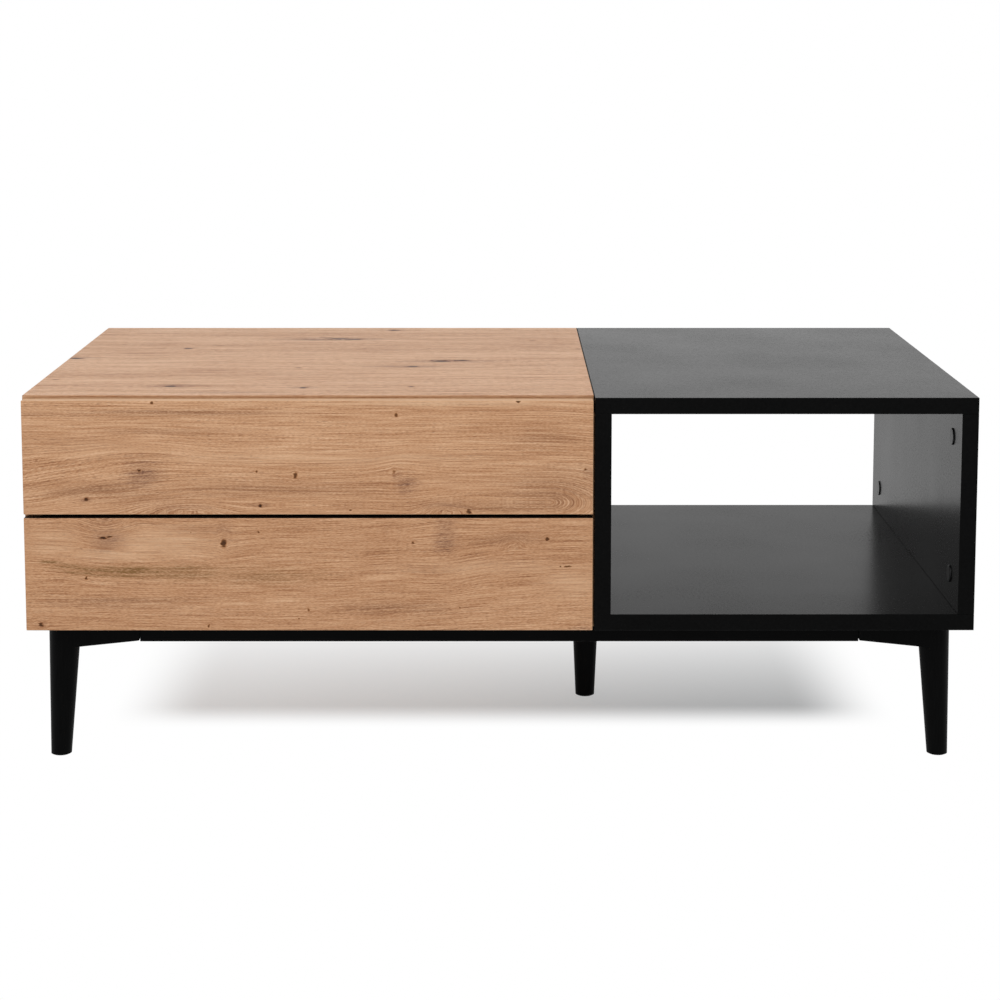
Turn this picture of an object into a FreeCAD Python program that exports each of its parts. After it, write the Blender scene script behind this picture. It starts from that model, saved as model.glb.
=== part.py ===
import FreeCAD, Part
import math
import os

from FreeCAD import Vector

# Coffee table of an oak drawer cabinet joined to a black open cube, in millimetres.
# +Z is up, the drawers face -Y, and the origin is on the floor under the middle of the top.

# Overall sizes
cabinet_width = 660.0
cube_width = 440.0
table_depth = 600.0
box_height = 273.0
leg_height = 157.0
board = 19.0
edge_round = 0.6

# Drawer fronts: they cover the cabinet's front and end flush with the cube
front_thickness = 16.0
front_standoff = 2.0
front_reveal = 3.2
front_end_reveal = 2.0
front_gap = 4.0
front_round = 1.0

# Cabinet back, held in grooves
back_thickness = 8.0
back_recess = 10.0
back_groove = 8.0
groove_fit = 0.15

# Drawer boxes
drawer_board = 12.0
drawer_floor_gap = 5.0
drawer_head_gap = 8.5
drawer_bottom = 5.0
drawer_bottom_rise = 8.0
drawer_groove = 5.0

# Telescopic runners: three nested channels of bent sheet
runner_gap = 13.0
runner_height = 45.0
runner_sheet = 1.2
runner_bend = 2.0
runner_setback = 2.0
runner_play = 0.3
runner_lap = 1.6
runner_screw_inset = 35.0
middle_slot_length = 60.0
middle_slot_width = 14.0

# Push-to-open latch on the cabinet's back, and the striker that it pushes
latch_barrel = 48.0
latch_barrel_diameter = 13.0
latch_flange = 3.0
latch_flange_width = 38.0
latch_flange_height = 22.0
latch_nose = 7.2
latch_screw_spread = 26.0
latch_screw_bite = 6.0
plunger_diameter = 8.0
plunger_length = 52.0
plunger_round = 2.0
striker_diameter = 22.0
striker_thickness = 1.5

# Cam fittings at the board corners and behind the drawer fronts
cam_inset = 53.0
cam_setback = 35.5
cam_diameter = 15.0
cam_height = 13.5
small_cam_setback = 24.0
small_cam_diameter = 12.0
small_cam_height = 9.0
bolt_diameter = 6.0
bolt_thread_diameter = 5.0
bolt_thread = 11.0
driver_slot = 2.0
dowel_diameter = 8.0
dowel_in_board = 11.0
dowel_in_side = 18.0
fitting_play = 0.1
cap_diameter = 20.0
cap_thickness = 1.6
cap_round = 1.0

# Sleeve bolts between the two boxes
sleeve_inset = 100.0
sleeve_clear = 9.0
sleeve_diameter = 8.0
sleeve_bolt_diameter = 5.0
sleeve_head_diameter = 14.0
sleeve_head = 2.5
sleeve_short = 2.0

# Corner legs: an upright outer side, a tapering inner side and a wedge-shaped wing
leg_inset = 21.0
leg_top_diameter = 37.5
leg_foot_diameter = 24.0
wing_length = 108.5
wing_step = 0.6
wing_root = 29.4
wing_tip = 18.0
wing_tip_width = 20.0
wing_round = 2.0
glide_height = 3.0
glide_proud = 1.0
glide_diameter = 20.0
glide_stem = 10.0
glide_stem_diameter = 6.0

# Rails and centre leg
rail_height = 19.0
rail_width = 20.0
rail_gap = 0.5
rail_screw_inset = 60.0
centre_leg_setback = 268.0
plate_size = 100.0
plate_thickness = 4.0
plate_round = 10.0
plate_screw_spread = 76.0
spigot_diameter = 10.0
spigot_length = 25.0

# Screws
screw_diameter = 3.5
screw_head = 6.8
screw_bite = 9.0
base_screw_diameter = 4.0
base_screw_head = 8.0
base_screw_bite = 14.0
base_screw_seat = 8.0
wing_screw_reach = 80.0
wing_screw_edge = 10.0

# Places that follow from the sizes
x_left = -(cabinet_width + cube_width) / 2
x_joint = x_left + cabinet_width
x_right = x_joint + cube_width
y_front = -table_depth / 2
y_back = table_depth / 2
z_base = leg_height
z_top = z_base + box_height
z_floor = z_base + board
z_ceiling = z_top - board

carcass_front = y_front + front_thickness + front_standoff
front_back = y_front + front_thickness
back_outer = y_back - back_recess
back_inner = back_outer - back_thickness
front_height = (box_height - front_reveal - front_gap) / 2

latch_face = back_inner - latch_flange - latch_barrel
plunger_tip = latch_face - latch_nose
striker_face = plunger_tip - runner_play
drawer_end = striker_face - striker_thickness
runner_start = carcass_front + runner_setback
drawer_height = front_height + front_reveal - 2 * board - drawer_floor_gap - drawer_head_gap
lower_runner = z_floor + drawer_floor_gap + drawer_height / 2
upper_runner = lower_runner + front_height + front_gap
drawer_left = x_left + board + runner_gap
drawer_right = x_joint - board - runner_gap
drawer_middle = (drawer_left + drawer_right) / 2

X = Vector(1, 0, 0)
Y = Vector(0, 1, 0)
Z = Vector(0, 0, 1)

nodes = {}
cuts = {}


def block(x0, x1, y0, y1, z0, z1):
    return Part.makeBox(x1 - x0, y1 - y0, z1 - z0, Vector(x0, y0, z0))


def panel(radius, *limits):
    """A board with all its arrises rounded."""
    solid = block(*limits)
    return solid.makeFillet(radius, solid.Edges)


def rod(diameter, start, along, length):
    return Part.makeCylinder(diameter / 2, length, start, along)


def turned(profile, start, along):
    """A profile of (radius, distance) points turned about the line from start."""
    points = [Vector(r, 0, s) for r, s in profile]
    face = Part.Face(Part.makePolygon(points + points[:1]))
    solid = face.revolve(Vector(), Z, 360)
    solid.Placement = FreeCAD.Placement(start, FreeCAD.Rotation(Z, along))
    return solid


def add(name, shape):
    nodes.setdefault(name, []).append(shape)


def drill(names, tool):
    for name in names:
        cuts.setdefault(name, []).append(tool)


def screw(group, start, along, length, diameter, head, through, into):
    """A countersunk screw and its holes. The threads fill the hole in the last board."""
    sink = (head - diameter) / 2
    point = diameter
    shank = diameter / 2
    solid = turned([(0, 0), (head / 2, 0), (shank, sink), (shank, length - point), (0, length)], start, along)
    add(group, solid)
    drill(through + [into], solid)


def cam_fitting(locks, bolts, board_node, side_node, seat, away, face, size):
    """A bolt in a board's face, and the cam in the side panel that draws it in."""
    diameter, height, setback, depth = size
    centre = seat + away * setback
    mouth = centre + face * depth
    lock = rod(diameter - 2 * fitting_play, mouth, -face, height)
    channel = bolt_diameter + 4 * fitting_play
    lock = lock.cut(rod(channel, centre + away * fitting_play, -away, diameter))
    wide = face.cross(away)
    slot = Part.makeBox(driver_slot, diameter, driver_slot)
    slot.translate(Vector(-driver_slot / 2, -diameter / 2, -driver_slot))
    slot.Placement = FreeCAD.Placement(mouth, FreeCAD.Rotation(wide, away, face, "ZYX")) * slot.Placement
    add(locks, lock.cut(slot))
    add(bolts, turned([(0, -bolt_thread), (bolt_thread_diameter / 2, -bolt_thread),
                       (bolt_thread_diameter / 2, 0), (bolt_diameter / 2, 0),
                       (bolt_diameter / 2, setback), (0, setback)], seat, away))
    drill([board_node], rod(bolt_thread_diameter, seat, -away, bolt_thread))
    drill([side_node], rod(channel, seat, away, setback))
    drill([side_node], rod(diameter, mouth, -face, height))


def dowel(board_node, side_node, seat, away):
    pin = rod(dowel_diameter, seat - away * dowel_in_board, away, dowel_in_board + dowel_in_side)
    add("dowels", pin)
    drill([board_node, side_node], pin)


# Boards of the two boxes. Tops and bottoms run over and under the sides.
add("cabinet_top", panel(edge_round, x_left, x_joint, carcass_front, y_back, z_ceiling, z_top))
add("cabinet_bottom", panel(edge_round, x_left, x_joint, carcass_front, y_back, z_base, z_floor))
add("cube_top", panel(edge_round, x_joint, x_right, y_front, y_back, z_ceiling, z_top))
add("cube_bottom", panel(edge_round, x_joint, x_right, y_front, y_back, z_base, z_floor))
sides = {
    "cabinet_left_side": (x_left, 1, carcass_front),
    "cabinet_right_side": (x_joint - board, -1, carcass_front),
    "cube_left_side": (x_joint, 1, y_front),
    "cube_right_side": (x_right - board, -1, y_front),
}
corner_cam = (cam_diameter, cam_height, cam_setback, board / 2)
for name, (x, facing, y_start) in sides.items():
    add(name, panel(edge_round, x, x + board, y_start, y_back, z_floor, z_ceiling))
    box = name.split("_")[0]
    for end, z, up in (("bottom", z_floor, 1), ("top", z_ceiling, -1)):
        board_node = box + "_" + end
        for y in (y_start + cam_inset, y_back - cam_inset):
            seat = Vector(x + board / 2, y, z)
            cam_fitting("cam_locks", "cam_bolts", board_node, name, seat, Z * up, X * facing, corner_cam)
            if box == "cube":
                middle = seat + Z * up * cam_setback + X * facing * board / 2
                cap = rod(cap_diameter, middle, X * facing, cap_thickness)
                rim = [e for e in cap.Edges
                       if abs((e.CenterOfMass - middle).dot(X * facing) - cap_thickness) < 0.01]
                add("cover_caps", cap.makeFillet(cap_round, rim))
        dowel(board_node, name, Vector(x + board / 2, (y_start + y_back) / 2, z), Z * up)

# Cabinet back in its grooves
back_lip = back_groove - groove_fit
add("cabinet_back", block(x_left + board - back_lip, x_joint - board + back_lip, back_inner, back_outer,
                          z_floor - back_lip, z_ceiling + back_lip))
groove = block(x_left + board - back_groove, x_joint - board + back_groove, back_inner - groove_fit,
               back_outer + groove_fit, z_floor - back_groove, z_ceiling + back_groove)
drill(["cabinet_top", "cabinet_bottom", "cabinet_left_side", "cabinet_right_side"], groove)

# Sleeve bolts through the two sides that meet, between the heights of the runners
sleeve_reach = (runner_height + sleeve_head_diameter) / 2 + sleeve_clear
for y in (carcass_front + sleeve_inset, y_back - sleeve_inset):
    for z in (lower_runner + sleeve_reach, upper_runner - sleeve_reach):
        nut_face = Vector(x_joint - board, y, z)
        bolt_face = Vector(x_joint + board, y, z)
        sleeve = 2 * board - sleeve_short
        bore = sleeve_bolt_diameter / 2 + fitting_play
        add("sleeve_nuts", turned([(0, -sleeve_head), (sleeve_head_diameter / 2, -sleeve_head),
                                   (sleeve_head_diameter / 2, 0), (sleeve_diameter / 2, 0),
                                   (sleeve_diameter / 2, sleeve), (bore, sleeve), (bore, 0), (0, 0)],
                                  nut_face, X))
        add("sleeve_bolts", turned([(0, -sleeve_head), (sleeve_head_diameter / 2, -sleeve_head),
                                    (sleeve_head_diameter / 2, 0), (sleeve_bolt_diameter / 2, 0),
                                    (sleeve_bolt_diameter / 2, sleeve), (0, sleeve)], bolt_face, -X))
        drill(["cabinet_right_side", "cube_left_side"],
              rod(sleeve_diameter + 2 * fitting_play, nut_face, X, 2 * board))


def channel(web, tip, half, z, y0, y1):
    """A bent-sheet channel along Y, from its web's outer face to the tips of its flanges."""
    way = 1 if tip > web else -1
    low, high = min(web, tip), max(web, tip)
    inner = half - runner_sheet
    solid = block(low, high, y0, y1, z - half, z + half)
    hollow = block(low + (runner_sheet if way > 0 else -1), high + (1 if way > 0 else -runner_sheet),
                   y0, y1, z - inner, z + inner)
    solid = solid.cut(hollow)
    for x, radius in ((web, runner_bend), (web + way * runner_sheet, runner_bend - runner_sheet)):
        bends = [e for e in solid.Edges
                 if e.BoundBox.YLength > e.BoundBox.DiagonalLength / 2 and abs(e.CenterOfMass.x - x) < 0.01]
        solid = solid.makeFillet(radius, bends)
    return solid


def runner(drawer, hand, z):
    """One telescopic runner: cabinet member, middle member and drawer member."""
    side = drawer + "_" + hand
    inward = 1 if hand == "left" else -1
    wall = x_left + board if hand == "left" else x_joint - board
    drawer_wall = wall + inward * runner_gap
    half = runner_height / 2
    step = runner_sheet + runner_play
    flange_end = drawer_wall - inward * (runner_sheet + runner_play)
    length = drawer_end - runner_start
    ends = (runner_start, drawer_end)
    add("runner_cabinet_" + side, channel(wall, flange_end, half, z, *ends))
    add("runner_middle_" + side, channel(wall + inward * runner_lap, flange_end, half - step, z, *ends))
    drawer_tip = wall + inward * (runner_lap + step)
    add("runner_drawer_" + side, channel(drawer_wall, drawer_tip, half - 2 * step, z, *ends))
    for y in (runner_start + runner_screw_inset, drawer_end - runner_screw_inset):
        screw("cabinet_screws", Vector(wall + inward * runner_sheet, y, z), -X * inward,
              screw_bite + runner_sheet, screw_diameter, screw_head, ["runner_cabinet_" + side],
              "cabinet_" + hand + "_side")
        screw(drawer + "_drawer_screws", Vector(drawer_wall - inward * runner_sheet, y, z), X * inward,
              screw_bite + runner_sheet, screw_diameter, screw_head, ["runner_drawer_" + side],
              drawer + "_drawer_" + hand + "_side")
    web = wall + inward * runner_lap
    for share in (0.25, 0.75):
        y = runner_start + share * length
        slot = block(min(web, web + inward * runner_sheet), max(web, web + inward * runner_sheet),
                     y - middle_slot_length / 2, y + middle_slot_length / 2,
                     z - middle_slot_width / 2, z + middle_slot_width / 2)
        ends_round = [e for e in slot.Edges if e.BoundBox.XLength > runner_sheet / 2]
        drill(["runner_middle_" + side], slot.makeFillet(middle_slot_width / 2 - runner_play, ends_round))


def drawer_box(drawer, z_front):
    """Front, sides, back and bottom of one drawer, its runners and its push-to-open latch."""
    name = drawer + "_drawer_"
    z0 = z_front + board + drawer_floor_gap
    z1 = z0 + drawer_height
    inner_left = drawer_left + drawer_board
    inner_right = drawer_right - drawer_board
    back_face = drawer_end - drawer_board
    middle = (z0 + z1) / 2
    add(name + "front", panel(front_round, x_left + front_end_reveal, x_joint - front_end_reveal,
                              y_front, front_back, z_front, z_front + front_height))
    add(name + "left_side", block(drawer_left, inner_left, front_back, drawer_end, z0, z1))
    add(name + "right_side", block(inner_right, drawer_right, front_back, drawer_end, z0, z1))
    add(name + "back", block(inner_left, inner_right, back_face, drawer_end, z0, z1))
    floor = z0 + drawer_bottom_rise
    lip = drawer_groove - groove_fit
    add(name + "bottom", block(inner_left - lip, inner_right + lip, front_back - lip, back_face + lip,
                               floor, floor + drawer_bottom))
    drill([name + part for part in ("front", "left_side", "right_side", "back")],
          block(inner_left - drawer_groove, inner_right + drawer_groove, front_back - drawer_groove,
                back_face + drawer_groove, floor - groove_fit, floor + drawer_bottom + groove_fit))
    small_cam = (small_cam_diameter, small_cam_height, small_cam_setback, drawer_board / 2)
    quarter = drawer_height / 4
    left = drawer_left + drawer_board / 2
    right = drawer_right - drawer_board / 2
    for hand, x, facing in (("left", left, 1), ("right", right, -1)):
        seat = Vector(x, front_back, middle + quarter)
        cam_fitting(name + "cam_locks", name + "cam_bolts", name + "front", name + hand + "_side",
                    seat, Y, X * facing, small_cam)
        for z in (floor + drawer_bottom + screw_head / 2, z1 - screw_head):
            head = Vector(x - facing * drawer_board / 2, drawer_end - drawer_board / 2, z)
            screw(name + "screws", head, X * facing, drawer_board + 2 * screw_bite, screw_diameter,
                  screw_head, [name + hand + "_side"], name + "back")
        runner(drawer, hand, middle)

    # The plunger pushes on a steel striker in the middle of the drawer's back
    add(name + "striker",
        rod(striker_diameter, Vector(drawer_middle, drawer_end, middle), Y, striker_thickness))
    barrel_start = Vector(drawer_middle, back_inner, middle)
    flange = block(drawer_middle - latch_flange_width / 2, drawer_middle + latch_flange_width / 2,
                   back_inner - latch_flange, back_inner,
                   middle - latch_flange_height / 2, middle + latch_flange_height / 2)
    upright = [e for e in flange.Edges if e.BoundBox.YLength > latch_flange / 2]
    flange = flange.makeFillet(latch_flange, upright)
    body = flange.fuse(rod(latch_barrel_diameter, barrel_start, -Y, latch_flange + latch_barrel))
    bore = rod(plunger_diameter + 2 * runner_play, Vector(drawer_middle, latch_face, middle), Y, latch_barrel)
    add(drawer + "_latch_body", body.cut(bore).removeSplitter())
    plunger = rod(plunger_diameter, Vector(drawer_middle, plunger_tip, middle), Y, plunger_length)
    tip = [e for e in plunger.Edges if abs(e.CenterOfMass.y - plunger_tip) < 0.01]
    add(drawer + "_latch_plunger", plunger.makeFillet(plunger_round, tip))
    for offset in (-latch_screw_spread / 2, latch_screw_spread / 2):
        screw("cabinet_screws", Vector(drawer_middle + offset, back_inner - latch_flange, middle), Y,
              latch_flange + latch_screw_bite, screw_diameter, screw_head, [drawer + "_latch_body"],
              "cabinet_back")


drawer_box("lower", z_base)
drawer_box("upper", z_base + front_height + front_gap)


def wing_depth(along):
    """Thickness of a wing at a distance from the leg's outer corner, summed along both edges."""
    return wing_root - (wing_root - wing_tip) * along / wing_length


def corner_leg():
    """The front left leg: an oblique cone with two upright sides, and a wedge-shaped wing."""
    x0 = x_left + leg_inset
    y0 = y_front + leg_inset
    radius = leg_top_diameter / 2
    foot = leg_foot_diameter / 2
    rings = []
    for r, z in ((foot, glide_proud), (radius, z_base)):
        rings.append(Part.Wire(Part.makeCircle(r, Vector(x0 + r, y0 + r, z))))
    leg = Part.makeLoft(rings, True, True)

    # The wing's faces stand a step inside the leg's upright sides
    xw = x0 + wing_step
    yw = y0 + wing_step
    tip = x0 + wing_length
    tip_y = y0 + wing_length
    low = z_base - wing_root
    outline = [(x0 + radius, yw), (tip, yw), (tip, yw + wing_tip_width), (xw + wing_tip_width, tip_y),
               (xw, tip_y), (xw, y0 + radius)]
    points = [Vector(x, y, low) for x, y in outline]
    wing = Part.Face(Part.makePolygon(points + points[:1])).extrude(Z * wing_root)

    # The underside rises from the corner to the long edge
    far = wing_length + 2 * wing_tip_width
    reach = far * math.sqrt(0.5)
    slope = [Vector(0, 0, -wing_root), Vector(reach, 0, -wing_root), Vector(reach, 0, -wing_depth(far))]
    wedge = Part.Face(Part.makePolygon(slope + slope[:1])).extrude(Y * 2 * far)
    wedge.translate(Vector(0, -far, z_base))
    wedge.rotate(Vector(), Z, 45)
    wedge.translate(Vector(x0, y0, 0))
    wing = wing.cut(wedge)
    level = z_base - wing_tip / 2
    blunt = [e for e in wing.Edges
             if e.BoundBox.ZMax < level and min(v.X - x0 + v.Y - y0 for v in e.Vertexes) > wing_length]
    wing = wing.makeFillet(wing_round, blunt)
    return leg.fuse(wing).removeSplitter()


def glide(x, y, leg_name):
    """A glide let into the foot of a leg, with its head proud and its stem in the wood."""
    add("foot_glides", turned([(0, 0), (glide_diameter / 2, 0), (glide_diameter / 2, glide_height),
                               (glide_stem_diameter / 2, glide_height),
                               (glide_stem_diameter / 2, glide_height + glide_stem),
                               (0, glide_height + glide_stem)], Vector(x, y, 0), Z))
    pocket = rod(glide_diameter + 2 * fitting_play, Vector(x, y, 0), Z, glide_height)
    drill([leg_name], pocket.fuse(rod(glide_stem_diameter, Vector(x, y, 0), Z, glide_height + glide_stem)))


first_leg = corner_leg()
foot_inset = leg_inset + leg_foot_diameter / 2
for end, y_sign in (("front", 1), ("rear", -1)):
    for hand, x_sign, box in (("left", 1, "cabinet"), ("right", -1, "cube")):
        leg = first_leg
        if x_sign < 0:
            leg = leg.mirror(Vector(), X)
        if y_sign < 0:
            leg = leg.mirror(Vector(), Y)
        name = "leg_" + end + "_" + hand
        add(name, leg)
        x_corner = x_sign * x_left
        y_corner = y_sign * y_front
        glide(x_corner + x_sign * foot_inset, y_corner + y_sign * foot_inset, name)
        for u, v in ((wing_screw_reach, wing_screw_edge), (wing_screw_edge, wing_screw_reach)):
            x = x_corner + x_sign * (leg_inset + u)
            y = y_corner + y_sign * (leg_inset + v)
            seat = Vector(x, y, z_base - base_screw_seat)
            drill([name], rod(base_screw_head + 2 * fitting_play, seat, -Z, wing_root))
            screw("base_screws", seat, Z, base_screw_seat + base_screw_bite, base_screw_diameter,
                  base_screw_head, [name], box + "_bottom")

# Rails under both boxes, between the tips of the wings
rail_inset = leg_inset + wing_step
rail_left = x_left + leg_inset + wing_length + rail_gap
rail_right = x_right - leg_inset - wing_length - rail_gap
for name, y0 in (("front_rail", y_front + rail_inset), ("rear_rail", y_back - rail_inset - rail_width)):
    add(name, panel(edge_round, rail_left, rail_right, y0, y0 + rail_width, z_base - rail_height, z_base))
    for x, box in ((rail_left + rail_screw_inset, "cabinet"), (x_joint - rail_screw_inset, "cabinet"),
                   (x_joint + rail_screw_inset, "cube"), (rail_right - rail_screw_inset, "cube")):
        seat = Vector(x, y0 + rail_width / 2, z_base - rail_height)
        screw("base_screws", seat, Z, rail_height + base_screw_bite, base_screw_diameter, base_screw_head,
              [name], box + "_bottom")

# Centre leg on a plate that bridges the joint of the two boxes
centre_y = y_front + centre_leg_setback
half_plate = plate_size / 2
plate = block(x_joint - half_plate, x_joint + half_plate, centre_y - half_plate, centre_y + half_plate,
              z_base - plate_thickness, z_base)
plate = plate.makeFillet(plate_round, [e for e in plate.Edges if e.BoundBox.ZLength > plate_thickness / 2])
leg_head = Vector(x_joint, centre_y, z_base - plate_thickness)
spigot = rod(spigot_diameter, leg_head, -Z, spigot_length)
add("centre_leg_plate", plate.fuse(spigot).removeSplitter())
drill(["centre_leg"], spigot)
leg_drop = leg_head.z - glide_proud
add("centre_leg", turned([(0, 0), (leg_top_diameter / 2, 0), (leg_foot_diameter / 2, leg_drop),
                          (0, leg_drop)], leg_head, -Z))
glide(x_joint, centre_y, "centre_leg")
for dx, box in ((-plate_screw_spread / 2, "cabinet"), (plate_screw_spread / 2, "cube")):
    for dy in (-plate_screw_spread / 2, plate_screw_spread / 2):
        screw("base_screws", Vector(x_joint + dx, centre_y + dy, z_base - plate_thickness), Z,
              plate_thickness + base_screw_bite, base_screw_diameter, base_screw_head,
              ["centre_leg_plate"], box + "_bottom")

os.makedirs("parts", exist_ok=True)
for name, shapes in nodes.items():
    tools = cuts.get(name, [])
    solids = []
    for shape in shapes:
        if tools:
            shape = shape.cut(tools)
        solids += shape.Solids
    shape = solids[0] if len(solids) == 1 else Part.makeCompound(solids)
    shape.exportStep("parts/" + name + ".step")
    print(name, len(solids), round(shape.Volume), shape.isValid())
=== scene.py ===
import bpy
import math
import numpy as np
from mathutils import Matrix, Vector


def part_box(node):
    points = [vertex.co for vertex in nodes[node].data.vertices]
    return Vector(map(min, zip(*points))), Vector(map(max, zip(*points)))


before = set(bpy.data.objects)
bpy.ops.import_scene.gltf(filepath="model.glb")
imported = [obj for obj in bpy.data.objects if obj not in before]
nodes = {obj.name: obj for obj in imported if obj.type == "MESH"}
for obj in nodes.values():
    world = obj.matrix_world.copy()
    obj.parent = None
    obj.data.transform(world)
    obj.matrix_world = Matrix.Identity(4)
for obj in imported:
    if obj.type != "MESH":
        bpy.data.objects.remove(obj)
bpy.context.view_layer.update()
mmPerMetre = 1000.0
noiseMiddle = 0.5  # what a noise texture averages


def linear(hexColour):
    # sRGB hex to linear light, with alpha 1
    srgb = np.array([int(hexColour[i:i + 2], 16) for i in (0, 2, 4)]) / 255
    bent = np.where(srgb > 0.04045, ((srgb + 0.055) / 1.055) ** 2.4, srgb / 12.92)
    return (*bent.tolist(), 1.0)


def addNode(tree, kind, sockets=None, out=0, stops=(), **settings):
    # adds one node and returns one of its outputs; a socket takes a number, a colour or another output,
    # and stops are a colour ramp's (position, hex) pairs
    node = tree.nodes.new(kind)
    for name, value in settings.items():
        setattr(node, name, value)
    for name, value in (sockets or {}).items():
        if isinstance(value, bpy.types.NodeSocket):
            tree.links.new(value, node.inputs[name])
        else:
            node.inputs[name].default_value = value
    if stops:
        elements = node.color_ramp.elements
        while len(elements) < len(stops):
            elements.new(0.5)
        for element, (position, shade) in zip(elements, stops):
            element.position = position
            element.color = linear(shade)
    return node.outputs[out]


def newFinish(name, **surface):
    # a material with one Principled shader, whose fixed values go on the shader's own sockets
    finish = bpy.data.materials.new(name)
    finish.use_nodes = True
    tree = finish.node_tree
    shader = tree.nodes["Principled BSDF"]
    for socket, value in surface.items():
        shader.inputs[socket].default_value = value
    return finish, tree, shader


def coatNodes(names, finish):
    for name in names:
        for slot in nodes[name].material_slots:
            slot.material = finish


# Oak decor, matt lacquer: fibres under 1 mm wide run along the board, short pores darken the early wood,
# and the grain parts round the knots. Sizes are in millimetres, along the grain and across it.
oak = {
    "facing": 0.7,  # a face looks along an axis where its direction has more than this of it
    # streaks in the wood's tone: size and weight, each a step further in the noise than the one before
    "streaks": {"fibre": (34, 0.58, 1.42), "dash": (2.4, 0.70, 0.74), "line": (120, 2.5, 0.08),
                "band": (340, 12, 0.22), "cloud": (230, 55, 0.26)},
    "streakStep": 0.37,
    "middleTone": 0.5,
    "stops": ((0.10, "7d5034"), (0.33, "a97753"), (0.50, "bf8f69"), (0.67, "cd9f7a"), (0.90, "dfb692")),
    # pores: thinned out in pale lines, they come in between two levels of their noise
    "pore": {"size": (6, 0.7), "slice": 2.3, "thinned": 0.55, "noise": (0.30, 0.50), "depth": 0.55,
             "shade": "7a5034"},
    "wave": {"size": (260, 90), "height": 7.0},
    # outlines of marks: a shake of the place, in noise cycles per millimetre, and streaks along the grain
    "shake": {"cycles": (0.22, 0.30), "reach": (3.6, 2.8)},
    "ragged": {"size": (13, 1.6), "slice": 1.7},
    # where a mark starts to fade and ends, in its own sizes from its middle, and how much it parts the grain
    "marks": {"knot": (0.35, 1.5, 0.45), "smoke": (0.0, 1.6, 0.20), "stain": (0.0, 1.5, 0.0),
              "shade": (0.0, 1.6, 0.0), "pale": (0.0, 1.6, 0.0), "lift": (0.0, 2.2, 0.0)},
    "partingReach": 3,  # times the mark's own end
    # colour and strength of the wood inside a mark, laid on in this order
    "hazes": {"pale": ("e6c09c", 1.1), "shade": ("8a5f42", 1.7), "stain": ("7e5a33", 1.8),
              "smoke": ("7d5642", 1.2)},
    # a haze is full where these streaks are dark and thin where they are pale
    "feather": {"line": (0.34, 0.62, 1.1, 0.35), "dash": (0.34, 0.64, 1.0, 0.35)},
    "knotStops": ((0.0, "ffffff"), (0.30, "e8dac8"), (0.62, "9c866a"), (1.0, "5a4529")),
    "edge": {"facing": (0.6, 0.8), "depth": 0.45},
    "joint": {"width": 1.3, "shade": "0a0706", "roughness": 1.0},
    # the lacquer sinks into dark wood, which stays duller; its fibres stand up a little
    "lacquer": {"ior": 1.28, "tone": (0.2, 0.8), "roughness": (0.56, 0.44), "relief": 0.25, "depth": 0.12},
}

# Marks as (along, across, half length, half height, amount), placed in the table's own coordinates.
# A knot is a dark core, smoke a brown haze, stain a greenish mineral streak, shade and pale are broad
# streaks of darker and lighter wood, and a lift raises the grain lines by that many millimetres.
upperFrontMarks = {
    "knot": (
        (-413.6, 345.2, 2.2, 1.5, 1.0), (-475.4, 312.1, 2.2, 1.8, 0.9), (-397.7, 424.4, 1.5, 1.7, 0.8),
        (-279.1, 344.2, 1.2, 1.7, 0.7), (-234.5, 340.0, 2.4, 3.6, 0.85), (-274.9, 304.6, 2.1, 1.9, 1.0),
        (-118.3, 410.2, 1.7, 2.5, 0.75), (21.7, 425.2, 2.2, 1.3, 1.0), (-121.1, 344.1, 2.0, 2.4, 0.5),
        (-171.9, 299.0, 1.4, 0.9, 0.8), (-35.1, 297.0, 2.9, 2.3, 0.95), (98.6, 346.9, 1.6, 1.3, 0.7)),
    "smoke": (
        (-410.0, 343.0, 21.0, 15.0, 1.0), (-106.0, 328.0, 13.0, 12.0, 1.1), (-476.0, 310.5, 7.0, 3.0, 0.8),
        (-276.0, 304.8, 11.0, 2.6, 0.8), (103.0, 340.0, 7.0, 8.0, 0.5), (-372.0, 304.0, 62.0, 8.0, 0.35),
        (-62.0, 304.0, 22.0, 8.0, 0.4), (-117.0, 339.0, 7.0, 6.0, 0.9)),
    "shade": (
        (-370.0, 412.0, 170.0, 4.5, 0.6), (-378.0, 391.0, 75.0, 4.0, 0.35), (-452.0, 321.0, 80.0, 11.0, 0.6),
        (-262.0, 323.0, 130.0, 9.0, 0.5), (70.0, 326.0, 70.0, 22.0, 0.65), (10.0, 305.0, 95.0, 7.0, 0.6),
        (49.0, 382.0, 40.0, 14.0, 0.35)),
    "pale": (
        (-70.0, 424.0, 150.0, 4.0, 0.6), (-190.0, 360.0, 190.0, 8.0, 0.45),
        (-480.0, 372.0, 60.0, 14.0, 0.25)),
    "lift": (
        (-600.0, 312.0, 120.0, 34.0, -26.0), (-370.0, 302.0, 40.0, 7.0, 10.5),
        (-270.0, 330.0, 120.0, 30.0, -5.0), (-66.0, 300.0, 19.0, 6.0, 9.0)),
}
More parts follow.
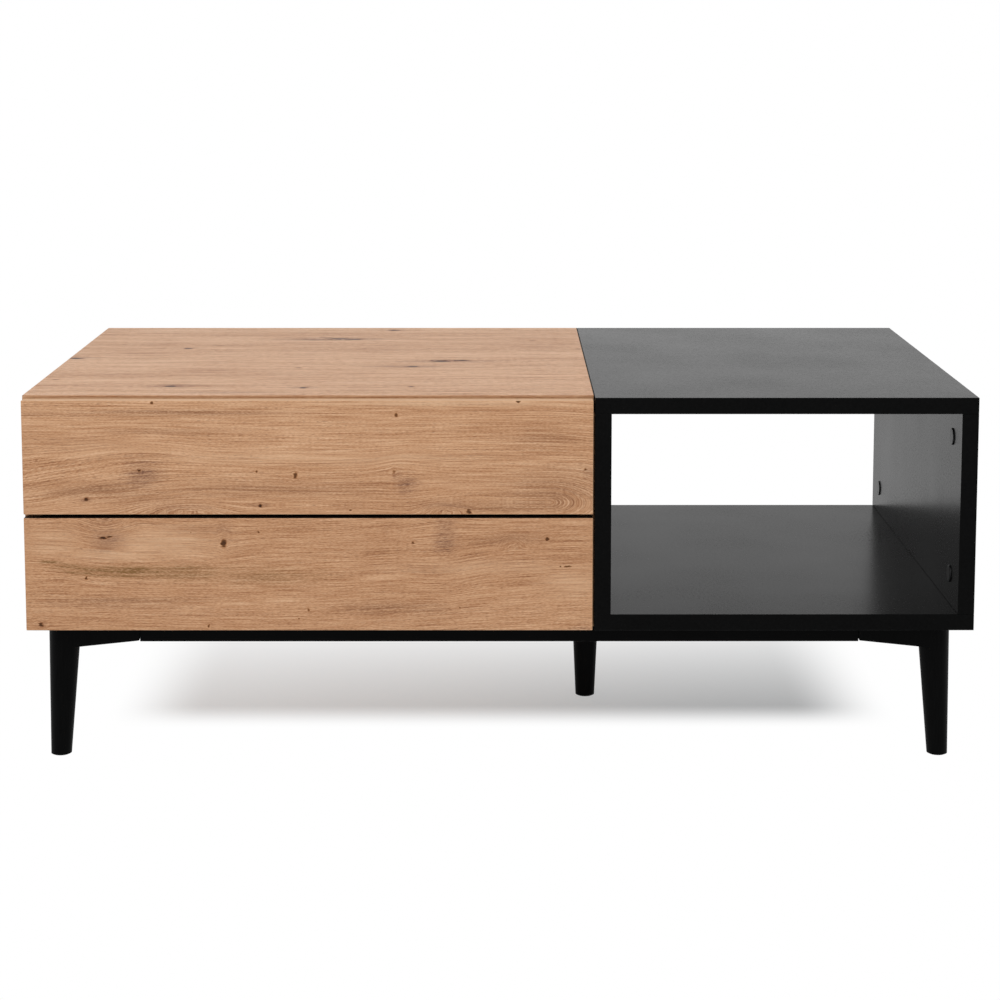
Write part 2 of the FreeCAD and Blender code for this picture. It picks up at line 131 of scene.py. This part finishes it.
lowerFrontMarks = {
    "knot": (
        (-455.8, 266.2, 5.0, 1.4, 1.0), (-449.0, 268.0, 3.0, 1.0, 0.9), (-318.1, 260.3, 2.8, 5.4, 0.95),
        (-477.1, 219.1, 1.8, 2.4, 0.85), (-530.7, 164.5, 2.6, 2.6, 0.9), (-277.5, 273.7, 1.3, 1.2, 0.75),
        (-355.5, 272.9, 0.8, 0.9, 0.7), (-336.4, 162.5, 1.4, 1.7, 0.75), (-99.3, 260.6, 1.3, 1.4, 0.8),
        (55.1, 264.9, 1.8, 2.1, 0.85), (70.6, 232.8, 1.0, 1.0, 1.0), (79.0, 232.6, 4.6, 0.7, 0.9),
        (-220.9, 181.4, 1.3, 2.4, 0.6), (-231.7, 170.9, 0.9, 0.9, 0.7), (-45.5, 184.1, 0.9, 0.9, 0.85)),
    "smoke": (
        (-452.0, 263.0, 20.0, 13.0, 0.75), (-62.0, 268.0, 13.0, 19.0, 1.0), (-318.0, 276.0, 9.0, 12.0, 0.4),
        (-530.7, 164.5, 6.0, 4.0, 0.6), (97.0, 160.0, 16.0, 6.0, 0.6), (-455.0, 283.0, 24.0, 5.0, 0.5)),
    "stain": (
        (-520.0, 237.5, 15.0, 2.6, 1.0), (-498.0, 232.5, 22.0, 3.6, 1.0), (-474.0, 227.5, 30.0, 6.0, 1.0),
        (-432.0, 226.5, 56.0, 8.0, 1.0), (-370.0, 225.5, 64.0, 9.0, 0.7), (-270.0, 222.0, 70.0, 12.0, 0.4)),
    "shade": (
        (-440.0, 190.0, 85.0, 7.0, 0.5), (-120.0, 184.0, 66.0, 9.0, 0.6), (16.0, 265.0, 42.0, 9.0, 0.5)),
    "pale": (
        (-385.0, 262.0, 70.0, 20.0, 0.5), (-447.0, 246.0, 46.0, 7.0, 0.7), (-515.0, 262.0, 30.0, 16.0, 0.4),
        (86.0, 214.0, 40.0, 16.0, 0.5), (-20.0, 232.0, 120.0, 9.0, 0.3)),
    "lift": (
        (-455.0, 280.0, 22.0, 15.0, -9.5), (17.0, 262.0, 12.0, 6.0, 8.0), (190.0, 215.0, 210.0, 80.0, 20.0),
        (-560.0, 240.0, 90.0, 26.0, 8.0)),
}
topMarks = {
    "knot": (
        (-217.0, 189.0, 13.0, 7.0, 1.0), (-198.0, 184.0, 13.0, 5.0, 1.0), (-255.0, 178.0, 22.0, 2.6, 0.6),
        (-231.0, 196.0, 8.0, 2.4, 0.8), (-74.0, -16.0, 12.0, 6.4, 1.0), (-50.0, -11.0, 13.0, 4.8, 1.0),
        (-108.0, -62.0, 9.0, 5.0, 1.0), (-410.0, 96.0, 6.0, 4.4, 1.0), (-372.0, 123.0, 12.0, 3.0, 0.5),
        (-388.0, -216.0, 6.5, 5.6, 1.0), (-231.0, -227.0, 5.0, 4.6, 1.0), (-250.0, -71.0, 5.0, 3.0, 0.7),
        (-104.0, -220.0, 4.5, 3.4, 0.9), (-146.0, 275.0, 9.0, 5.5, 1.0), (15.0, 285.0, 13.0, 2.6, 0.5),
        (46.0, 173.0, 6.0, 3.0, 0.5), (104.0, 92.0, 6.0, 3.6, 0.5), (-534.0, -166.0, 6.0, 3.0, 0.6),
        (-541.0, 8.0, 9.0, 6.0, 1.0)),
    "smoke": (
        (-226.0, 186.0, 70.0, 15.0, 0.9), (-68.0, -16.0, 62.0, 13.0, 0.8), (-114.0, -61.0, 44.0, 9.0, 0.7),
        (-320.0, -262.0, 60.0, 10.0, 0.6), (-388.0, -214.0, 24.0, 12.0, 0.7),
        (-231.0, -227.0, 18.0, 9.0, 0.6), (-536.0, 10.0, 26.0, 13.0, 0.7), (-408.0, 98.0, 18.0, 8.0, 0.5),
        (-146.0, 276.0, 34.0, 9.0, 0.5)),
    "lift": ((-220.0, 188.0, 70.0, 30.0, 8.0), (-80.0, -30.0, 90.0, 30.0, -9.0)),
}
carcassMarks = {
    "knot": (
        (-212.0, 352.0, 2.4, 2.0, 0.9), (-96.0, 243.0, 2.2, 3.6, 0.9), (38.0, 386.0, 1.6, 1.4, 0.8),
        (121.0, 291.0, 3.0, 1.8, 0.95), (233.0, 204.0, 1.4, 1.4, 0.8), (-178.0, 197.0, 2.0, 1.4, 0.7),
        (-388.0, 330.0, 2.6, 2.0, 0.9), (-471.0, 222.0, 1.8, 2.8, 0.9), (176.0, 372.0, 1.4, 1.2, 0.8)),
    "smoke": (
        (121.0, 289.0, 20.0, 13.0, 0.8), (-206.0, 350.0, 22.0, 12.0, 0.7), (-388.0, 326.0, 26.0, 9.0, 0.6),
        (-40.0, 215.0, 70.0, 8.0, 0.4)),
    "lift": ((-260.0, 260.0, 160.0, 50.0, -9.0), (200.0, 330.0, 170.0, 45.0, 8.0)),
}


def readBoard(tree, seed):
    # the place in millimetres, how much the face looks along each axis, whether it looks up or down,
    # and the grain's place: along it, across it, and the board's own seed
    coords = addNode(tree, "ShaderNodeTexCoord", out="Object")
    place = addNode(tree, "ShaderNodeVectorMath", {0: coords, "Scale": mmPerMetre}, operation="SCALE")
    spot = addNode(tree, "ShaderNodeSeparateXYZ", {0: place}).node.outputs
    facing = addNode(tree, "ShaderNodeNewGeometry", out="Normal")
    facing = addNode(tree, "ShaderNodeVectorMath", {0: facing}, operation="ABSOLUTE")
    facing = addNode(tree, "ShaderNodeSeparateXYZ", {0: facing}).node.outputs
    # X and Z on a front, X and Y on a top, Y and Z on a side
    onEnd = addNode(tree, "ShaderNodeMath", {0: facing["X"], 1: oak["facing"]}, operation="GREATER_THAN")
    onTop = addNode(tree, "ShaderNodeMath", {0: facing["Z"], 1: oak["facing"]}, operation="GREATER_THAN")
    along = addNode(tree, "ShaderNodeMix", {0: onEnd, 2: spot["X"], 3: spot["Y"]})
    across = addNode(tree, "ShaderNodeMix", {0: onTop, 2: spot["Z"], 3: spot["Y"]})
    grain = addNode(tree, "ShaderNodeCombineXYZ", {0: along, 1: across, 2: seed})
    return spot, facing, onTop, grain


def markBoard(tree, grain, marks, fingers):
    # a mask for each kind of mark, and how far the marks bend the grain
    cycles, swing = (*oak["shake"]["cycles"], 1.0), (*oak["shake"]["reach"], 0.0)

    # rough outlines: a small shake of the place before the marks are measured
    at = addNode(tree, "ShaderNodeVectorMath", {0: grain, 1: cycles}, operation="MULTIPLY")
    shake = addNode(tree, "ShaderNodeTexNoise", {"Vector": at, "Scale": 1.0, "Detail": 3.0}, out="Color")
    shake = addNode(tree, "ShaderNodeVectorMath", {0: shake, 1: (noiseMiddle,) * 3}, operation="SUBTRACT")
    shaken = addNode(tree, "ShaderNodeVectorMath", {0: shake, 1: swing, 2: grain}, operation="MULTIPLY_ADD")

    # ragged outlines: streaks that push a mark's edge in and out
    length, height = oak["ragged"]["size"]
    sizes = (1 / length, 1 / height, oak["ragged"]["slice"])
    at = addNode(tree, "ShaderNodeVectorMath", {0: grain, 1: sizes}, operation="MULTIPLY")
    ragged = addNode(tree, "ShaderNodeTexNoise", {"Vector": at, "Scale": 1.0, "Detail": 2.0})
    ragged = addNode(tree, "ShaderNodeMath", {0: ragged, 1: 2 * fingers, 2: -fingers},
                     operation="MULTIPLY_ADD")

    masks = {kind: 0.0 for kind in marks}
    bend = (0.0, 0.0, 0.0)
    for kind, spots in marks.items():
        near, far, parts = oak["marks"][kind]
        for middle, height, halfLength, halfHeight, amount in spots:
            sizes = (1 / halfLength, 1 / halfHeight, 0.0)
            start = (-middle / halfLength, -height / halfHeight, 0.0)
            offset = addNode(tree, "ShaderNodeVectorMath", {0: shaken, 1: sizes, 2: start},
                             operation="MULTIPLY_ADD")
            reach = addNode(tree, "ShaderNodeVectorMath", {0: offset}, out="Value", operation="LENGTH")
            outline = 0.0 if kind == "lift" else ragged
            edge = addNode(tree, "ShaderNodeMath", {0: reach, 1: outline}, operation="ADD")
            fade = addNode(tree, "ShaderNodeMapRange", {0: edge, 1: near, 2: far, 3: amount, 4: 0.0},
                           interpolation_type="SMOOTHSTEP")
            if kind == "lift":
                raised = addNode(tree, "ShaderNodeCombineXYZ", {1: fade})
                bend = addNode(tree, "ShaderNodeVectorMath", {0: bend, 1: raised}, operation="SUBTRACT")
                continue
            masks[kind] = addNode(tree, "ShaderNodeMath", {0: fade, 1: masks[kind]}, operation="MAXIMUM")
            if parts:
                end = oak["partingReach"] * far
                parting = addNode(tree, "ShaderNodeMapRange", {0: reach, 1: 0.0, 2: end, 3: -parts, 4: 0.0},
                                  interpolation_type="SMOOTHSTEP")
                push = addNode(tree, "ShaderNodeVectorMath", {0: offset, "Scale": parting},
                               operation="SCALE")
                bend = addNode(tree, "ShaderNodeVectorMath", {0: push, 1: (0.0, halfHeight, 0.0), 2: bend},
                               operation="MULTIPLY_ADD")
    return masks, bend


def bendGrain(tree, grain, bend, rings):
    # slow waves in the grain, then the bends round the marks, then the growth rings
    length, height = oak["wave"]["size"]
    sizes, rise = (1 / length, 1 / height, 1.0), (0.0, oak["wave"]["height"], 0.0)
    at = addNode(tree, "ShaderNodeVectorMath", {0: grain, 1: sizes}, operation="MULTIPLY")
    wave = addNode(tree, "ShaderNodeTexNoise", {"Vector": at, "Scale": 1.0, "Detail": 1.0}, out="Color")
    flow = addNode(tree, "ShaderNodeVectorMath", {0: wave, 1: rise, 2: grain}, operation="MULTIPLY_ADD")
    flow = addNode(tree, "ShaderNodeVectorMath", {0: flow, 1: bend}, operation="ADD")
    if rings:
        # a grain line keeps its distance to the ray that runs left from the rings' middle
        middle, height, halfLength, halfHeight = rings
        sizes = (1 / halfLength, 1 / halfHeight, 0.0)
        start = (-middle / halfLength, -height / halfHeight, 0.0)
        rightHalf = (0.0, -1000.0, 0.0)  # the lowest values kept: right of the middle, at any height
        offset = addNode(tree, "ShaderNodeVectorMath", {0: flow, 1: sizes, 2: start},
                         operation="MULTIPLY_ADD")
        tip = addNode(tree, "ShaderNodeVectorMath", {0: offset, 1: rightHalf}, operation="MAXIMUM")
        ring = addNode(tree, "ShaderNodeVectorMath", {0: tip}, out="Value", operation="LENGTH")
        side = addNode(tree, "ShaderNodeSeparateXYZ", {0: offset}, out="Y")
        turn = addNode(tree, "ShaderNodeMath", {0: ring, 1: side}, operation="SUBTRACT")
        turn = addNode(tree, "ShaderNodeCombineXYZ", {1: turn})
        flow = addNode(tree, "ShaderNodeVectorMath", {0: turn, 1: (0.0, halfHeight, 0.0), 2: flow},
                       operation="MULTIPLY_ADD")
    return flow


def toneBoard(tree, flow, contrast, shift, run):
    # the tone is five sizes of streaks, added about a middle tone; each size's own noise is kept too
    weights = sum(weight for length, height, weight in oak["streaks"].values())
    tone = oak["middleTone"] + shift - noiseMiddle * contrast * weights
    streaks = {}
    for layer, (streak, (length, height, weight)) in enumerate(oak["streaks"].items()):
        sizes = (1 / (length * run), 1 / height, 1.0 + oak["streakStep"] * layer)
        at = addNode(tree, "ShaderNodeVectorMath", {0: flow, 1: sizes}, operation="MULTIPLY")
        streaks[streak] = addNode(tree, "ShaderNodeTexNoise", {"Vector": at, "Scale": 1.0, "Detail": 2.0})
        tone = addNode(tree, "ShaderNodeMath", {0: streaks[streak], 1: weight * contrast, 2: tone},
                       operation="MULTIPLY_ADD")
    return tone, streaks


def colourBoard(tree, flow, tone, streaks, masks):
    # the tone's own colour, darkened by the pores, then tinted inside the marks
    colour = addNode(tree, "ShaderNodeValToRGB", {0: tone}, stops=oak["stops"])

    # pores: short dark dashes, most of them in the dark lines of early wood
    pore = oak["pore"]
    (length, height), (start, full) = pore["size"], pore["noise"]
    sizes = (1 / length, 1 / height, pore["slice"])
    at = addNode(tree, "ShaderNodeVectorMath", {0: flow, 1: sizes}, operation="MULTIPLY")
    dashes = addNode(tree, "ShaderNodeTexNoise", {"Vector": at, "Scale": 1.0, "Detail": 1.0})
    dashes = addNode(tree, "ShaderNodeMath", {0: streaks["line"], 1: -pore["thinned"], 2: dashes},
                     operation="MULTIPLY_ADD")
    pores = addNode(tree, "ShaderNodeMapRange", {0: dashes, 1: start, 2: full, 3: 0.0, 4: pore["depth"]})
    colour = addNode(tree, "ShaderNodeMix", {0: pores, 6: colour, 7: linear(pore["shade"])}, out=2,
                     data_type="RGBA")

    # smoky, stained, dark and pale wood, broken up by lines and dashes
    feather = 1.0
    for streak, (dark, pale, most, least) in oak["feather"].items():
        thin = addNode(tree, "ShaderNodeMapRange", {0: streaks[streak], 1: dark, 2: pale, 3: most, 4: least})
        feather = addNode(tree, "ShaderNodeMath", {0: feather, 1: thin}, operation="MULTIPLY")
    for kind, (shade, gain) in oak["hazes"].items():
        if kind in masks:
            haze = addNode(tree, "ShaderNodeMath", {0: masks[kind], 1: gain}, operation="MULTIPLY")
            haze = addNode(tree, "ShaderNodeMath", {0: haze, 1: feather}, operation="MULTIPLY")
            colour = addNode(tree, "ShaderNodeMix", {0: haze, 6: colour, 7: linear(shade)}, out=2,
                             data_type="RGBA")
    return colour


def makeOak(name, seed, marks, face, band, contrast, run, shift=0.0, fingers=0.8,
            paintedGapShade=None, joint=None, rings=None):
    # face is the axis that the board's broad side looks along, band the colour of its edges, an edge band's
    # own colour
    # with painted light and shade in it: lighter on the fronts' edges and darker on the top's edges, which
    # sit in shade;
    # run how much longer the streaks are, shift a lighter tone, fingers how far a mark's outline runs out
    # along the grain, paintedGapShade a painted shade, near black, on the top and bottom edge, standing in
    # for the shadow in the gap between the fronts, joint where the dark line beside the next box begins, and
    # rings the middle of the growth rings with the half length and half height of one of them
    lacquer = oak["lacquer"]
    finish, tree, shader = newFinish(name, IOR=lacquer["ior"])
    spot, facing, onTop, grain = readBoard(tree, seed)
    masks, bend = markBoard(tree, grain, marks, fingers)
    flow = bendGrain(tree, grain, bend, rings)
    tone, streaks = toneBoard(tree, flow, contrast, shift, run)
    colour = colourBoard(tree, flow, tone, streaks, masks)

    # edge bands with painted light and shade, lighter on the fronts' edges and darker on the top's, then the
    # knots' dark wood
    (low, high), depth = oak["edge"]["facing"], oak["edge"]["depth"]
    edge = addNode(tree, "ShaderNodeMapRange", {0: facing[face], 1: low, 2: high, 3: depth, 4: 0.0})
    colour = addNode(tree, "ShaderNodeMix", {0: edge, 6: colour, 7: linear(band)}, out=2, data_type="RGBA")
    # painted shade: the top and bottom edges go near black, for the shadow in the gap between the two fronts
    if paintedGapShade:
        colour = addNode(tree, "ShaderNodeMix", {0: onTop, 6: colour, 7: linear(paintedGapShade)}, out=2,
                         data_type="RGBA")
    knots = addNode(tree, "ShaderNodeValToRGB", {0: masks["knot"]}, stops=oak["knotStops"])
    colour = addNode(tree, "ShaderNodeMix", {0: 1.0, 6: colour, 7: knots}, out=2, data_type="RGBA",
                     blend_type="MULTIPLY")

    (dark, pale), (dull, sleek) = lacquer["tone"], lacquer["roughness"]
    rough = addNode(tree, "ShaderNodeMapRange", {0: tone, 1: dark, 2: pale, 3: dull, 4: sleek})
    if joint:
        line = oak["joint"]
        gap = addNode(tree, "ShaderNodeMath", {0: spot["X"], 1: joint}, operation="GREATER_THAN")
        colour = addNode(tree, "ShaderNodeMix", {0: gap, 6: colour, 7: linear(line["shade"])}, out=2,
                         data_type="RGBA")
        rough = addNode(tree, "ShaderNodeMix", {0: gap, 2: rough, 3: line["roughness"]})
    tree.links.new(colour, shader.inputs["Base Color"])
    tree.links.new(rough, shader.inputs["Roughness"])

    # raised fibres, on a noise of their own
    length, height = oak["streaks"]["fibre"][:2]
    sizes = (1 / length, 1 / height, 1.0)
    at = addNode(tree, "ShaderNodeVectorMath", {0: grain, 1: sizes}, operation="MULTIPLY")
    relief = addNode(tree, "ShaderNodeTexNoise", {"Vector": at, "Scale": 1.0, "Detail": 2.0})
    bump = addNode(tree, "ShaderNodeBump", {"Height": relief, "Strength": lacquer["relief"],
                                            "Distance": lacquer["depth"] / mmPerMetre})
    tree.links.new(bump, shader.inputs["Normal"])
    return finish


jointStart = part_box("cabinet_top")[1].x * mmPerMetre - oak["joint"]["width"]
# the edges' colours are painted light and shade over an edge band: pale on the fronts' edges, dark brown on
# the top's edges, which sit in shade
frontBoard = {"face": "Y", "band": "dcb994", "contrast": 0.95, "run": 1.6}
carcassBoard = {"marks": carcassMarks, "band": "9a7350", "contrast": 0.95, "run": 1.6}
oakBoards = {
    "oakTop": {"nodes": ["cabinet_top"], "seed": 3.1, "marks": topMarks, "face": "Z", "band": "9c704c",
               "contrast": 1.95, "run": 3.0, "shift": 0.13, "fingers": 1.2, "joint": jointStart},
    "oakUpperFront": {**frontBoard, "nodes": ["upper_drawer_front"], "seed": 11.7, "marks": upperFrontMarks,
                      "shift": 0.055, "rings": (56.0, 311.0, 26.0, 10.0)},
    # the lower front's top and bottom edges get a painted shade, near black, for the shadow in the gap
    # between the fronts
    "oakLowerFront": {**frontBoard, "nodes": ["lower_drawer_front"], "seed": 23.9, "marks": lowerFrontMarks,
                      "shift": -0.004, "paintedGapShade": "20150d"},
    "oakBottom": {**carcassBoard, "nodes": ["cabinet_bottom"], "seed": 31.3, "face": "Z"},
    "oakSides": {**carcassBoard, "nodes": ["cabinet_left_side", "cabinet_right_side"], "seed": 37.3,
                 "face": "X"},
    "oakBack": {**carcassBoard, "nodes": ["cabinet_back"], "seed": 43.9, "face": "Y"},
}
for name, look in oakBoards.items():
    coatNodes(look.pop("nodes"), makeOak(name, **look))
print("oak: top, two fronts, carcass")


# One maker for the plain finishes: two shades mottled by fine and slow noise, roughness that follows the
# mottling, and a fine relief. Sizes are in millimetres; "stretch" draws the fine pattern out along one axis,
# as brushing or fibres do.
mottling = {"fine": 0.6, "slow": 0.4, "shades": (0.32, 0.68), "sheen": (0.3, 0.7)}


def makeFinish(name, look):
    finish, tree, shader = newFinish(name, IOR=look["ior"], Metallic=look.get("metal", 0.0))
    coords = addNode(tree, "ShaderNodeTexCoord", out="Object")
    fineScale = tuple(mmPerMetre / (look["grain"] * s) for s in look.get("stretch", (1, 1, 1)))
    slowScale = mmPerMetre / look["patch"]
    at = addNode(tree, "ShaderNodeMapping", {"Vector": coords, "Scale": fineScale})
    fine = addNode(tree, "ShaderNodeTexNoise", {"Vector": at, "Scale": 1.0, "Detail": 3.0})
    slow = addNode(tree, "ShaderNodeTexNoise", {"Vector": coords, "Scale": slowScale, "Detail": 2.0})
    mottle = addNode(tree, "ShaderNodeMath", {0: fine, 1: mottling["fine"]}, operation="MULTIPLY")
    mottle = addNode(tree, "ShaderNodeMath", {0: slow, 1: mottling["slow"], 2: mottle},
                     operation="MULTIPLY_ADD")
    shades = tuple(zip(mottling["shades"], (look["dark"], look["light"])))
    colour = addNode(tree, "ShaderNodeValToRGB", {0: mottle}, stops=shades)
    tree.links.new(colour, shader.inputs["Base Color"])
    (low, high), (sleek, dull) = mottling["sheen"], look["roughness"]
    rough = addNode(tree, "ShaderNodeMapRange", {0: mottle, 1: low, 2: high, 3: sleek, 4: dull})
    tree.links.new(rough, shader.inputs["Roughness"])
    bump = addNode(tree, "ShaderNodeBump", {"Height": fine, "Strength": look["relief"],
                                            "Distance": look["depth"] / mmPerMetre})
    tree.links.new(bump, shader.inputs["Normal"])
    return finish


# Satin black lacquer: near black face on, which its low IOR gives, and grey where it mirrors the room at a
# low angle
blackLacquer = {"dark": "030303", "light": "090909", "grain": 3.2, "patch": 150, "ior": 1.12,
                "roughness": (0.20, 0.30), "relief": 0.12, "depth": 0.06}
cubeBoards = ["cube_top", "cube_bottom", "cube_left_side", "cube_right_side"]
coatNodes(cubeBoards, makeFinish("blackLacquer", blackLacquer))

# Matt black paint on hardwood legs and rails: a soft sheen, the wood's fibres just show
blackLeg = {"dark": "020202", "light": "080808", "grain": 1.6, "patch": 90, "ior": 1.11,
            "stretch": (1, 1, 14), "roughness": (0.38, 0.52), "relief": 0.10, "depth": 0.06}
legs = ["leg_front_left", "leg_front_right", "leg_rear_left", "leg_rear_right", "centre_leg"]
coatNodes(legs, makeFinish("blackLeg", blackLeg))
blackRail = {**blackLeg, "stretch": (14, 1, 1)}
coatNodes(["front_rail", "rear_rail"], makeFinish("blackRail", blackRail))

# Pale melamine of the drawer boxes: faint streaks, even and matt
melamine = {"dark": "c9c2b6", "light": "d8d2c7", "grain": 3.0, "patch": 120, "ior": 1.45,
            "stretch": (1, 12, 1), "roughness": (0.45, 0.58), "relief": 0.12, "depth": 0.04}
boxSides = ("left_side", "right_side", "back", "bottom")
drawerBoards = [f"{drawer}_drawer_{side}" for drawer in ("upper", "lower") for side in boxSides]
coatNodes(drawerBoards, makeFinish("paleMelamine", melamine))

# Raw beech dowels: warm, with fine flecks
beech = {"dark": "b98a5e", "light": "d6ab7d", "grain": 1.2, "patch": 20, "ior": 1.4,
         "stretch": (10, 1, 1), "roughness": (0.6, 0.75), "relief": 0.3, "depth": 0.1}
coatNodes(["dowels"], makeFinish("rawBeech", beech))

# Moulded black plastic caps and latches: fine spark grain, dull sheen
blackPlastic = {"dark": "0d0d0e", "light": "1a1a1b", "grain": 0.8, "patch": 25, "ior": 1.3,
                "roughness": (0.35, 0.48), "relief": 0.2, "depth": 0.05}
# Moulded grey plastic plungers: the same grain, paler
greyPlastic = {"dark": "6f7072", "light": "83858a", "grain": 0.8, "patch": 25, "ior": 1.46,
               "roughness": (0.35, 0.5), "relief": 0.2, "depth": 0.05}
# Black powder coat: a fine pebble skin
powderCoat = {"dark": "0b0b0c", "light": "171718", "grain": 0.9, "patch": 60, "ior": 1.45,
              "roughness": (0.42, 0.55), "relief": 0.35, "depth": 0.08}
# Bright zinc plate: cool metal, drawn along the part, with dull patches
zinc = {"dark": "b4b8bb", "light": "d3d7da", "grain": 0.7, "patch": 35, "ior": 1.5, "metal": 1.0,
        "stretch": (1, 20, 1), "roughness": (0.24, 0.40), "relief": 0.10, "depth": 0.03}
# these go on by the record's material slot, because many small pieces share them
recordSlots = {"black_plastic": ("mouldedBlackPlastic", blackPlastic),
               "grey_plastic": ("mouldedGreyPlastic", greyPlastic),
               "black_steel": ("powderCoatedSteel", powderCoat), "zinc_steel": ("brightZincPlate", zinc)}
for slotName, (name, look) in recordSlots.items():
    finish = makeFinish(name, look)
    for part in nodes.values():
        for slot in part.material_slots:
            if slot.material and slot.material.name.split(".")[0] == slotName:
                slot.material = finish
print("finishes: lacquer, legs, melamine, beech, plastics, powder coat, zinc")


# Studio: a pale floor, white surroundings and a soft lamp high in front, in metres
studio = {"floorRadius": 40.0, "floorSides": 96, "floorColour": "eef3f6", "shadowDepth": (0.50, 0.66),
          "shadowMiddle": 0.002, "shadowSide": (0.365, 0.495), "shadowFront": (-0.175, -0.075),
          "shadowBack": (-0.08, 0.46), "fill": 0.64, "lampSize": 2.6, "lampPlace": (-0.7, -2.8, 3.8),
          "lampAim": (0.0, 0.0, 0.2), "lampPower": 84.0}
angles = np.linspace(0, 2 * math.pi, studio["floorSides"], endpoint=False)
rim = np.stack([np.cos(angles), np.sin(angles), 0 * angles], 1) * studio["floorRadius"]
floorMesh = bpy.data.meshes.new("studioFloor")
floorMesh.from_pydata(rim.tolist(), [], [list(range(len(rim)))])
floor = bpy.data.objects.new("studioFloor", floorMesh)
bpy.context.scene.collection.objects.link(floor)


def seenDirectly(tree):
    # 1 for rays from the eye and for mirror or clear rays, 0 for the light's own bounces
    paths = addNode(tree, "ShaderNodeLightPath").node.outputs
    seen = paths["Is Camera Ray"]
    for kind in ("Is Glossy Ray", "Is Transmission Ray"):
        seen = addNode(tree, "ShaderNodeMath", {0: seen, 1: paths[kind]}, operation="MAXIMUM")
    return seen


# floor paint: below the table a part of it shows as plain white and the rest takes light and shadow, and
# further out it fades to plain white; the real shadow shows only inside this painted patch, whose edges and
# depth are set by place
paint = bpy.data.materials.new("palePaint")
paint.use_nodes = True
tree = paint.node_tree
tree.nodes.clear()
matt = addNode(tree, "ShaderNodeBsdfDiffuse", {"Color": linear(studio["floorColour"])})
white = addNode(tree, "ShaderNodeEmission", {"Color": linear("ffffff"), "Strength": 1.0})
coords = addNode(tree, "ShaderNodeTexCoord", out="Object")
spot = addNode(tree, "ShaderNodeSeparateXYZ", {0: coords}).node.outputs
aside = addNode(tree, "ShaderNodeMath", {0: spot["X"], 1: studio["shadowMiddle"]}, operation="SUBTRACT")
aside = addNode(tree, "ShaderNodeMath", {0: aside}, operation="ABSOLUTE")
inner, outer = studio["shadowSide"]
shade = addNode(tree, "ShaderNodeMapRange", {0: aside, 1: inner, 2: outer, 3: 1.0, 4: 0.0},
                interpolation_type="SMOOTHSTEP")
# painted shade: the shadow is made deeper towards the black cube's side, where the oak throws more light down
# than the black cube does
pale, deep = studio["shadowDepth"]
depth = addNode(tree, "ShaderNodeMapRange", {0: spot["X"], 1: -inner, 2: inner, 3: pale, 4: deep})
start, full = studio["shadowFront"]
front = addNode(tree, "ShaderNodeMapRange", {0: spot["Y"], 1: start, 2: full},
                interpolation_type="SMOOTHSTEP")
near, far = studio["shadowBack"]
back = addNode(tree, "ShaderNodeMapRange", {0: spot["Y"], 1: near, 2: far, 3: 1.0, 4: 0.0})
for share in (depth, front, back):
    shade = addNode(tree, "ShaderNodeMath", {0: shade, 1: share}, operation="MULTIPLY")
plain = addNode(tree, "ShaderNodeMath", {0: 1.0, 1: shade}, operation="SUBTRACT")
plain = addNode(tree, "ShaderNodeMath", {0: seenDirectly(tree), 1: plain}, operation="MULTIPLY")
mixed = addNode(tree, "ShaderNodeMixShader", {0: plain, 1: matt, 2: white})
output = tree.nodes.new("ShaderNodeOutputMaterial")
tree.links.new(mixed, output.inputs["Surface"])
floorMesh.materials.append(paint)

world = bpy.data.worlds.new("whiteRoom")
world.use_nodes = True
bpy.context.scene.world = world
tree = world.node_tree
strength = addNode(tree, "ShaderNodeMapRange", {0: seenDirectly(tree), 3: studio["fill"], 4: 1.0})
background = tree.nodes["Background"]
background.inputs["Color"].default_value = linear("ffffff")
tree.links.new(strength, background.inputs["Strength"])

lampData = bpy.data.lights.new("softBox", "AREA")
lampData.size = studio["lampSize"]
lampData.energy = studio["lampPower"]
lamp = bpy.data.objects.new("softBox", lampData)
bpy.context.scene.collection.objects.link(lamp)
lamp.location = studio["lampPlace"]
towards = Vector(studio["lampAim"]) - lamp.location
lamp.rotation_euler = towards.to_track_quat("-Z", "Y").to_euler()
print("studio: floor, white room, soft box")

# Camera: place and sensor width in millimetres, pitch and yaw in radians, focal length and principal row in
# pixels of the frame
shot = {"place": (-1.73, -2850.1, 854.6), "pitch": 0.12, "yaw": 0.0010, "focal": 2256.5, "row": 296.3,
        "frame": 1000, "sensor": 36.0}
cameraData = bpy.data.cameras.new("camera")
cameraData.sensor_width = shot["sensor"]
cameraData.lens = shot["focal"] * shot["sensor"] / shot["frame"]
cameraData.shift_y = (shot["row"] - shot["frame"] / 2) / shot["frame"]
camera = bpy.data.objects.new("camera", cameraData)
bpy.context.scene.collection.objects.link(camera)
camera.location = [p / mmPerMetre for p in shot["place"]]
camera.rotation_euler = (math.pi / 2 - shot["pitch"], 0.0, -shot["yaw"])
bpy.context.scene.camera = camera
bpy.context.scene.view_settings.view_transform = "Standard"
print("camera set")
